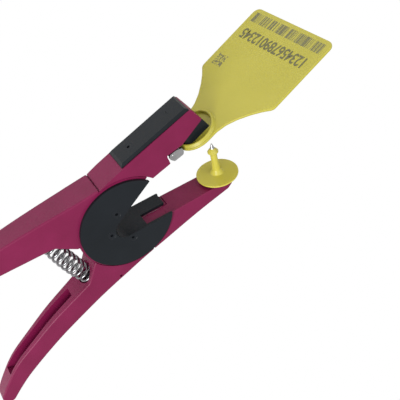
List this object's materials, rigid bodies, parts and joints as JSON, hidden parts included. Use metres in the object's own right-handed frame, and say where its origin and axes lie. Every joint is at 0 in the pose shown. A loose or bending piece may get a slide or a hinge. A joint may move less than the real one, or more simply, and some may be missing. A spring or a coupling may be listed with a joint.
{
  "type": "ear tag applicator",
  "caption": "Wine-painted livestock ear tag applicator pliers, jaws open, with a yellow panel tag and its male button loaded and a chrome handle spring.",
  "frame": {"origin": "on the hub axis, halfway through the thickness of the castings", "axes": "+X from the hub to the jaws, +Y from the pin jaw to the tag jaw, +Z along the hub axis to the side with the near disc"},
  "size_m": [0.3135, 0.1255, 0.0845],
  "materials": {
    "wine_paint": "satin powder coat",
    "black_plastic": "satin moulded",
    "grey_plastic": "matte",
    "yellow_plastic": "soft satin polyurethane",
    "steel": "plain",
    "spring_chrome": "bright plated"
  },
  "bodies": {
    "tag_jaw": {"tag_jaw_casting": "wine_paint", "pivot_core": "black_plastic", "near_disc": "black_plastic", "far_disc": "black_plastic", "thrust_washer": "grey_plastic", "near_screw_1": "steel", "near_screw_2": "steel", "near_screw_3": "steel", "far_screw_1": "steel", "far_screw_2": "steel", "far_screw_3": "steel", "jaw_cover": "black_plastic", "cover_screw_1": "steel", "cover_screw_2": "steel", "jaw_insert": "black_plastic", "clip_pin": "steel", "spring_seat_lower": "black_plastic", "handle_spring": "spring_chrome"},
    "pin_jaw": {"pin_jaw_casting": "wine_paint", "spring_seat_upper": "black_plastic", "applicator_pin": "steel", "pin_lock_screw": "steel"},
    "male_button": {"male_button": "yellow_plastic", "button_tip": "steel"},
    "female_tag": {"female_tag": "yellow_plastic", "tag_socket": "black_plastic"},
    "tag_clip": {"tag_clip": "steel"}
  },
  "joints": [
    {"name": "jaw_hinge", "type": "hinge", "parent": "tag_jaw", "child": "pin_jaw", "pos_m": [0, 0, 0], "axis": [0, 0, 1], "range_deg": [0, 25], "stiffness_Nm_per_rad": 2, "springref_deg": -20.05, "deforming": ["handle_spring"]},
    {"name": "button_spin", "type": "hinge", "parent": "pin_jaw", "child": "male_button", "pos_m": [0.07164, -0.02261, 0], "axis": [0.225, 0.9744, 0], "continuous": true},
    {"name": "tag_swivel", "type": "hinge", "parent": "tag_jaw", "child": "female_tag", "pos_m": [0.072, 0.0212, 0], "axis": [-0.1616, 0.9869, 0], "range_deg": [-10, 20]},
    {"name": "clip_hinge", "type": "hinge", "parent": "tag_jaw", "child": "tag_clip", "pos_m": [0.05, 0.0214, 0], "axis": [0, 0, 1], "range_deg": [-20, 0], "stiffness_Nm_per_rad": 0.005, "springref_deg": 34.38}
  ]
}
